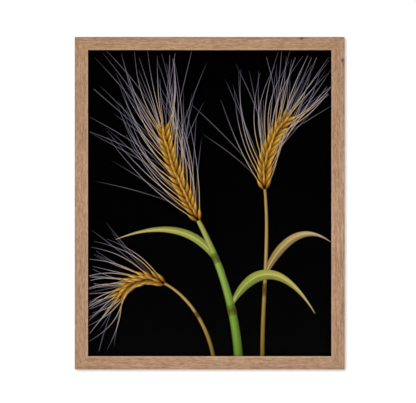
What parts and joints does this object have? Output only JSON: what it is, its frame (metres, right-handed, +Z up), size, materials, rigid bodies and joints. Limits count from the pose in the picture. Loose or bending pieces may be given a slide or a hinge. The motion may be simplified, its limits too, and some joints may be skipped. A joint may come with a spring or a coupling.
{
  "type": "framed print",
  "caption": "Upright picture frame of mitred oak rails holding clear glazing, a printed sheet and a backing board, with a toothed hanger on its back for hanging it on a wall nail.",
  "frame": {"origin": "the roof of the hanger's middle notch, where the wall nail bears, halfway through the thickness of its toothed bar", "axes": "+Z up, +Y towards the wall, so the picture faces -Y, +X to the right as seen from the front"},
  "size_m": [0.43, 0.022, 0.53],
  "materials": {
    "oak": "sanded pale oak with a matt oil finish, its grain along each rail",
    "glass": "clear 2 mm picture glass",
    "print": "heavy matt paper printed on its front with pale, tan, ochre and green ears of grain on black, white on its back",
    "fibreboard": "bare 3 mm fibreboard",
    "zinced_steel": "bright zinc-plated steel",
    "point_steel": "dark spring steel",
    "brassed_steel": "brass-plated steel"
  },
  "bodies": {
    "root": {"rail_top": "oak", "rail_right": "oak", "rail_bottom": "oak", "rail_left": "oak", "v_nail_top_left_1": "zinced_steel", "v_nail_top_left_2": "zinced_steel", "v_nail_top_right_1": "zinced_steel", "v_nail_top_right_2": "zinced_steel", "v_nail_bottom_right_1": "zinced_steel", "v_nail_bottom_right_2": "zinced_steel", "v_nail_bottom_left_1": "zinced_steel", "v_nail_bottom_left_2": "zinced_steel", "flexible_point_top_1": "point_steel", "flexible_point_top_2": "point_steel", "flexible_point_right_1": "point_steel", "flexible_point_right_2": "point_steel", "flexible_point_right_3": "point_steel", "flexible_point_bottom_1": "point_steel", "flexible_point_bottom_2": "point_steel", "flexible_point_left_1": "point_steel", "flexible_point_left_2": "point_steel", "flexible_point_left_3": "point_steel", "glazing": "glass", "print": "print", "backing_board": "fibreboard", "hanger": "zinced_steel", "hanger_pin_left": "brassed_steel", "hanger_pin_right": "brassed_steel"}
  },
  "joints": []
}
